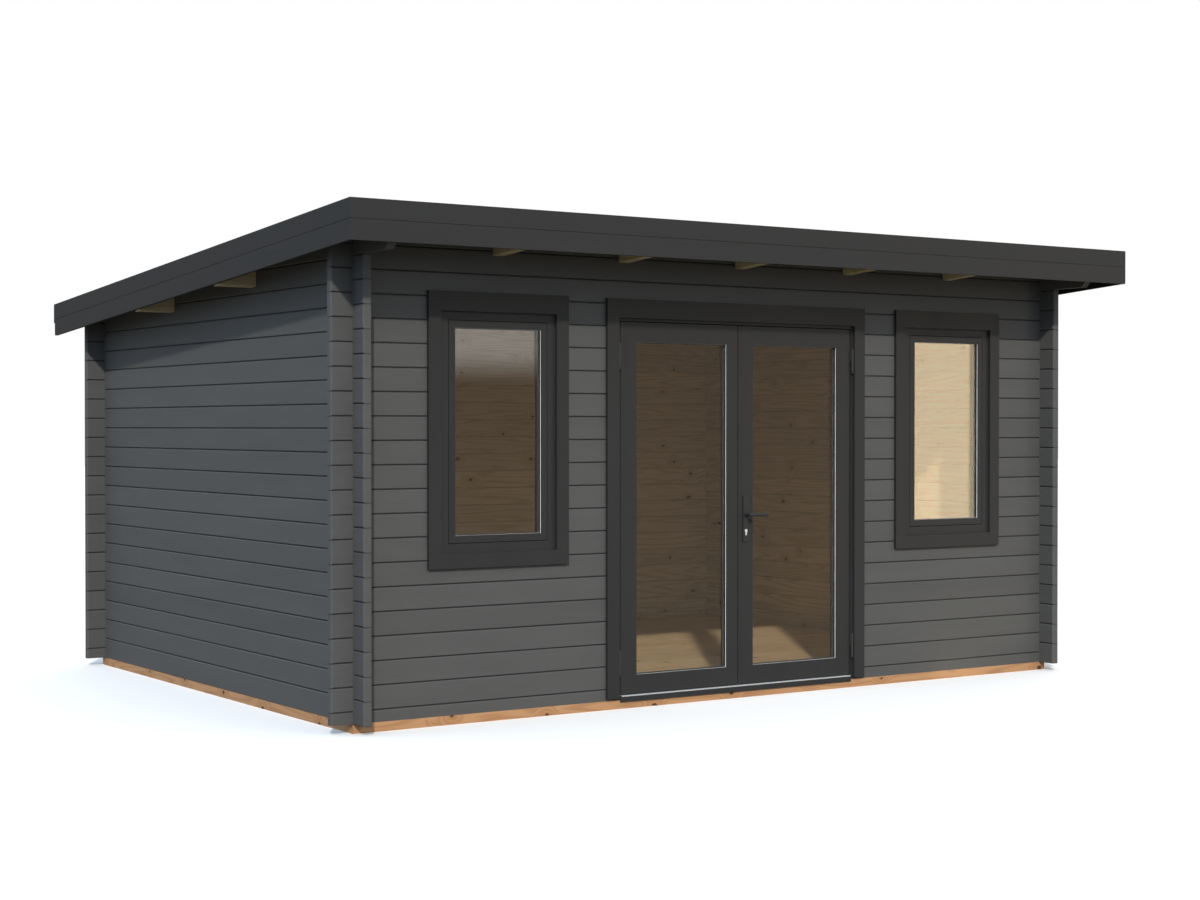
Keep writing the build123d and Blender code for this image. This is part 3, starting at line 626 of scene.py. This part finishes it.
# Roof boards, floor boards and roofing felt, in metres
ROOF_BOARDS = 56
ROOF_BOARD_GAP = 0.0006
ROOF_BOARD_VEE = 0.004
ROOF_BOARD_KNOT = 0.009
FLOOR_BOARDS = 28
FLOOR_BOARD_GAP = 0.0008
FLOOR_BOARD_EASE = 0.0012
FLOOR_BOARD_ROUGH = 0.42
DOOR_FRAME_GAP = 0.004
FELT_STRIPS = 4
FELT_LAP = 0.08
FELT_SHEET = 0.0018
FELT_STEP = 0.004
FELT_RAMP = 0.01


def roof_boards():
    """Matched boards from the front to the rear, with a V joint on the face that shows under the eaves."""
    low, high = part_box("roof_boards")
    thick = (high.z - low.z) - SLOPE * (high.y - low.y)
    wide = (high.x - low.x) / ROOF_BOARDS
    vee = ROOF_BOARD_VEE
    bm = bmesh.new()
    for k in range(ROOF_BOARDS):
        x0 = low.x + k * wide + ROOF_BOARD_GAP / 2
        x1 = x0 + wide - ROOF_BOARD_GAP
        ends = []
        for y in (low.y, high.y):
            top = high.z - SLOPE * (y - low.y)
            foot = top - thick
            ends.append([(x0, y, top), (x1, y, top), (x1, y, foot + vee), (x1 - vee, y, foot),
                         (x0 + vee, y, foot), (x0, y, foot + vee)])
        extruded(bm, *ends)
    # The boards' colours are darkened below the wood's own tone, as painted shade under the eaves
    timber = bare_material("roof_board_timber_with_shade", Y, wide, low.x, X, ROOF_LIGHT_WITH_SHADE, ROOF_DARK_WITH_SHADE,
                           knot_size=ROOF_BOARD_KNOT)
    piece("roof_boarding", bm, timber, replaced=["roof_boards"])


def floor_boards():
    """Matched boards along the building, the first ones parted at the door frame."""
    low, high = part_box("floor_boards")
    wide = (high.y - low.y) / FLOOR_BOARDS
    x_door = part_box("door_jamb_right")[1].x + DOOR_FRAME_GAP
    y_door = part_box("door_threshold")[1].y + DOOR_FRAME_GAP
    bm = bmesh.new()
    for k in range(FLOOR_BOARDS):
        y0 = low.y + k * wide + FLOOR_BOARD_GAP / 2
        y1 = y0 + wide - FLOOR_BOARD_GAP
        stretches = [(low.x, high.x, y0)]
        if y0 < y_door:
            stretches = [(low.x, -x_door, y0), (-x_door, x_door, y_door), (x_door, high.x, y0)]
        for x0, x1, start in stretches:
            block(bm, (x0, start, low.z), (x1, y1, high.z), FLOOR_BOARD_EASE)
    timber = bare_material("floor_board_timber", X, wide, low.y, Y, FLOOR_LIGHT, FLOOR_DARK,
                           FLOOR_BOARD_ROUGH)
    piece("floor_boarding", bm, timber, replaced=["floor_boards"])


def roofing_felt():
    """Strips along the roof, each lapped over the one below it."""
    low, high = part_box("roof_covering")
    deep = (high.y - low.y) / FELT_STRIPS
    bm = bmesh.new()

    def surface(y):
        return high.z - COVER_T - SLOPE * (y - low.y) + FIT

    for k in range(FELT_STRIPS):
        y0 = low.y + k * deep
        y1 = y0 + deep
        profile = [(y0, 0.0), (y1, 0.0)]
        if k < FELT_STRIPS - 1:
            profile += [(y1 + FELT_STEP, FELT_SHEET), (y1 + FELT_LAP, FELT_SHEET),
                        (y1 + FELT_LAP, 2 * FELT_SHEET), (y1, 2 * FELT_SHEET), (y1 - FELT_RAMP, FELT_SHEET)]
        else:
            profile.append((y1, FELT_SHEET))
        profile.append((y0, FELT_SHEET))
        extruded(bm, *([(x, y, surface(y) + rise) for y, rise in profile] for x in (low.x, high.x)))
    piece("roofing_felt", bm, felt, replaced=["roof_covering"])


roof_boards()
floor_boards()
roofing_felt()

# Door furniture, in metres. A turned profile gives distances along the axis and shares of the radius.
BARREL_R = 0.007
BARREL_HALF = 0.064
BARREL_GAP = 0.001
CAP_PROFILE = ((FIT, 1.0), (0.0012, 0.97), (0.0028, 0.8), (0.0040, 0.45), (0.0043, 0.15))
CUP_R = 0.00715
CUP_PROFILE = ((0.012, 1.0), (0.0, 1.0), (-0.0010, 0.9), (-0.0016, 0.5))
SCREW_R = 0.0034
SCREW_INSET = 0.013
SCREW_PROFILE = ((0.0, 1.0), (0.0006, 0.92), (0.0010, 0.6))
TURNED_SIDES = 20
KEY_W = 0.0014
KEY_H = 0.009
KEY_PROUD = 0.0003


def turned(bm, centre, axis, radius, profile, way=1):
    """A closed turned piece, which points up the axis, or down it where way is -1."""
    a, b = [k for k in (X, Y, Z) if k != axis]
    rings = []
    for along, share in profile:
        ring = []
        for k in range(TURNED_SIDES):
            turn = 2 * pi * k / TURNED_SIDES
            p = list(centre)
            p[axis] += along * way
            p[a] += radius * share * cos(turn)
            p[b] += radius * share * sin(turn)
            ring.append(bm.verts.new(p))
        rings.append(ring)
    for near, far in zip(rings, rings[1:]):
        for k in range(TURNED_SIDES):
            after = (k + 1) % TURNED_SIDES
            bm.faces.new((near[k], near[after], far[after], far[k]))
    bm.faces.new(rings[0])
    bm.faces.new(rings[-1])


def hinge_caps(side):
    """A domed cap on each barrel's top, which turns with the leaf, and a cup on its foot, on the jamb."""
    hinge = next(j for j in frame["joints"] if j["name"] == f"{side}_leaf_hinge")
    x, y, _ = hinge["pos_m"]
    low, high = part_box(f"{side}_hinges_on_leaf")
    caps = bmesh.new()
    cups = bmesh.new()
    for top in (low.z + BARREL_HALF, high.z):
        foot = top - 2 * BARREL_HALF - BARREL_GAP
        turned(caps, (x, y, top), Z, BARREL_R, CAP_PROFILE)
        turned(cups, (x, y, foot), Z, CUP_R, CUP_PROFILE)
    piece(f"{side}_hinge_caps", caps, plain["black_coat"], f"{side}_leaf")
    piece(f"{side}_hinge_cups", cups, plain["black_coat"], "pod")


def plate_screws():
    """A domed screw at the top and foot of each handle plate, outside and inside."""
    low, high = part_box("right_leaf_handle_plates")
    x = (low.x + high.x) / 2
    bm = bmesh.new()
    for y, way in ((low.y, -1), (high.y, 1)):
        for z in (low.z + SCREW_INSET, high.z - SCREW_INSET):
            turned(bm, (x, y, z), Y, SCREW_R, SCREW_PROFILE, way)
    piece("right_leaf_plate_screws", bm, plain["black_coat"], "right_leaf")


def key_slots():
    """The narrow upright slots in the two ends of the lock's barrel, each a thin black slab just proud of
    the face that paints the shade inside the slot.
    """
    low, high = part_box("right_leaf_lock")
    x = (low.x + high.x) / 2
    z = high.z - (high.x - low.x) / 2
    bm = bmesh.new()
    for y0, y1 in ((low.y - KEY_PROUD, low.y - FIT), (high.y + FIT, high.y + KEY_PROUD)):
        block(bm, (x - KEY_W / 2, y0, z - KEY_H / 2), (x + KEY_W / 2, y1, z + KEY_H / 2))
    piece("right_leaf_key_slots", bm, plain["black_rubber_and_slot_shade"], "right_leaf")


for side in ("left", "right"):
    hinge_caps(side)
plate_screws()
key_slots()


# Floor, light and camera
def compass(s, x, y):
    """The direction of a place or ray, as an angle from -Y towards +X."""
    return s.math("ARCTAN2", x, s.times(y, -1.0))


def between(s, turn, rise, fall):
    """1 between two compass directions in degrees, with soft ends."""
    up = s.span(turn, radians(rise[0]), radians(rise[1]))
    return s.times(up, s.span(turn, radians(fall[0]), radians(fall[1])))


def studio_floor():
    """A wide pale floor, which shows the glass the dim surroundings and the panel instead."""
    bm = bmesh.new()
    ways = ((-1, -1), (1, -1), (1, 1), (-1, 1))
    bm.faces.new([bm.verts.new((x * GROUND_REACH, y * GROUND_REACH, 0)) for x, y in ways])
    s = Shader("studio_floor")
    rays = s.node("ShaderNodeLightPath")
    pale = s.mix(rays.outputs["Is Diffuse Ray"], GROUND, GROUND_BOUNCE)
    mirrored = s.mix(between(s, compass(s, s.x, s.y), PANEL_RISE, PANEL_FALL), MIRRORED, PANEL)
    lit = s.node("ShaderNodeBsdfDiffuse", {"Color": pale}).outputs[0]
    glow = s.node("ShaderNodeEmission", {"Color": mirrored}).outputs[0]
    both = s.node("ShaderNodeMixShader", {0: rays.outputs["Is Glossy Ray"], 1: lit, 2: glow})
    floor = mesh_object("studio_floor", bm, s.finish(both.outputs[0]))


def sun():
    data = bpy.data.lights.new("key", "SUN")
    data.energy = SUN_STRENGTH
    data.color = SUN_COLOUR
    data.angle = radians(SUN_SOFTNESS)
    made = linked("key", data)
    made.rotation_euler = Euler((radians(90 - SUN_HEIGHT), 0, radians(-SUN_AZIMUTH)))


def sky():
    """A soft sky, cooler towards -X, which the camera sees as white and the glass over dim surroundings."""
    world = bpy.data.worlds.new("studio")
    bpy.context.scene.world = world
    world.use_nodes = True
    s = Nodes(world.node_tree)
    x, y, z = s.parts(s.node("ShaderNodeTexCoord").outputs["Generated"])
    soft = s.mix(s.span(x, *SKY_COOLS), SKY_WARM, SKY_COOL)
    turn = compass(s, x, y)
    low = s.mix(between(s, turn, PANEL_RISE, PANEL_FALL), MIRRORED, PANEL)
    glow = s.times(between(s, turn, GLOW_RISE, GLOW_FALL), s.span(z, *GLOW_HEIGHT))
    low = s.mix(s.times(glow, s.span(z, *GLOW_TOP)), low, GLOW)
    mirrored = s.mix(s.span(z, *MIRRORED_TOP), low, soft)
    rays = s.node("ShaderNodeLightPath")
    light = s.mix(rays.outputs["Is Glossy Ray"], soft, mirrored)
    seen = s.mix(rays.outputs["Is Camera Ray"], light, WHITE)
    back = s.node("ShaderNodeBackground", {"Color": seen})
    s.node("ShaderNodeOutputWorld", {0: back.outputs[0]})


def camera():
    data = bpy.data.cameras.new("camera")
    data.lens = CAMERA_LENS
    data.sensor_width = SENSOR
    data.sensor_fit = "HORIZONTAL"
    data.clip_end = CAMERA_REACH
    made = linked("camera", data)
    made.location = CAMERA_PLACE
    made.rotation_euler = Euler((radians(90 - CAMERA_PITCH), 0, radians(-CAMERA_YAW)))
    bpy.context.scene.camera = made


studio_floor()
sun()
sky()
camera()
bpy.context.scene.view_settings.view_transform = "Standard"
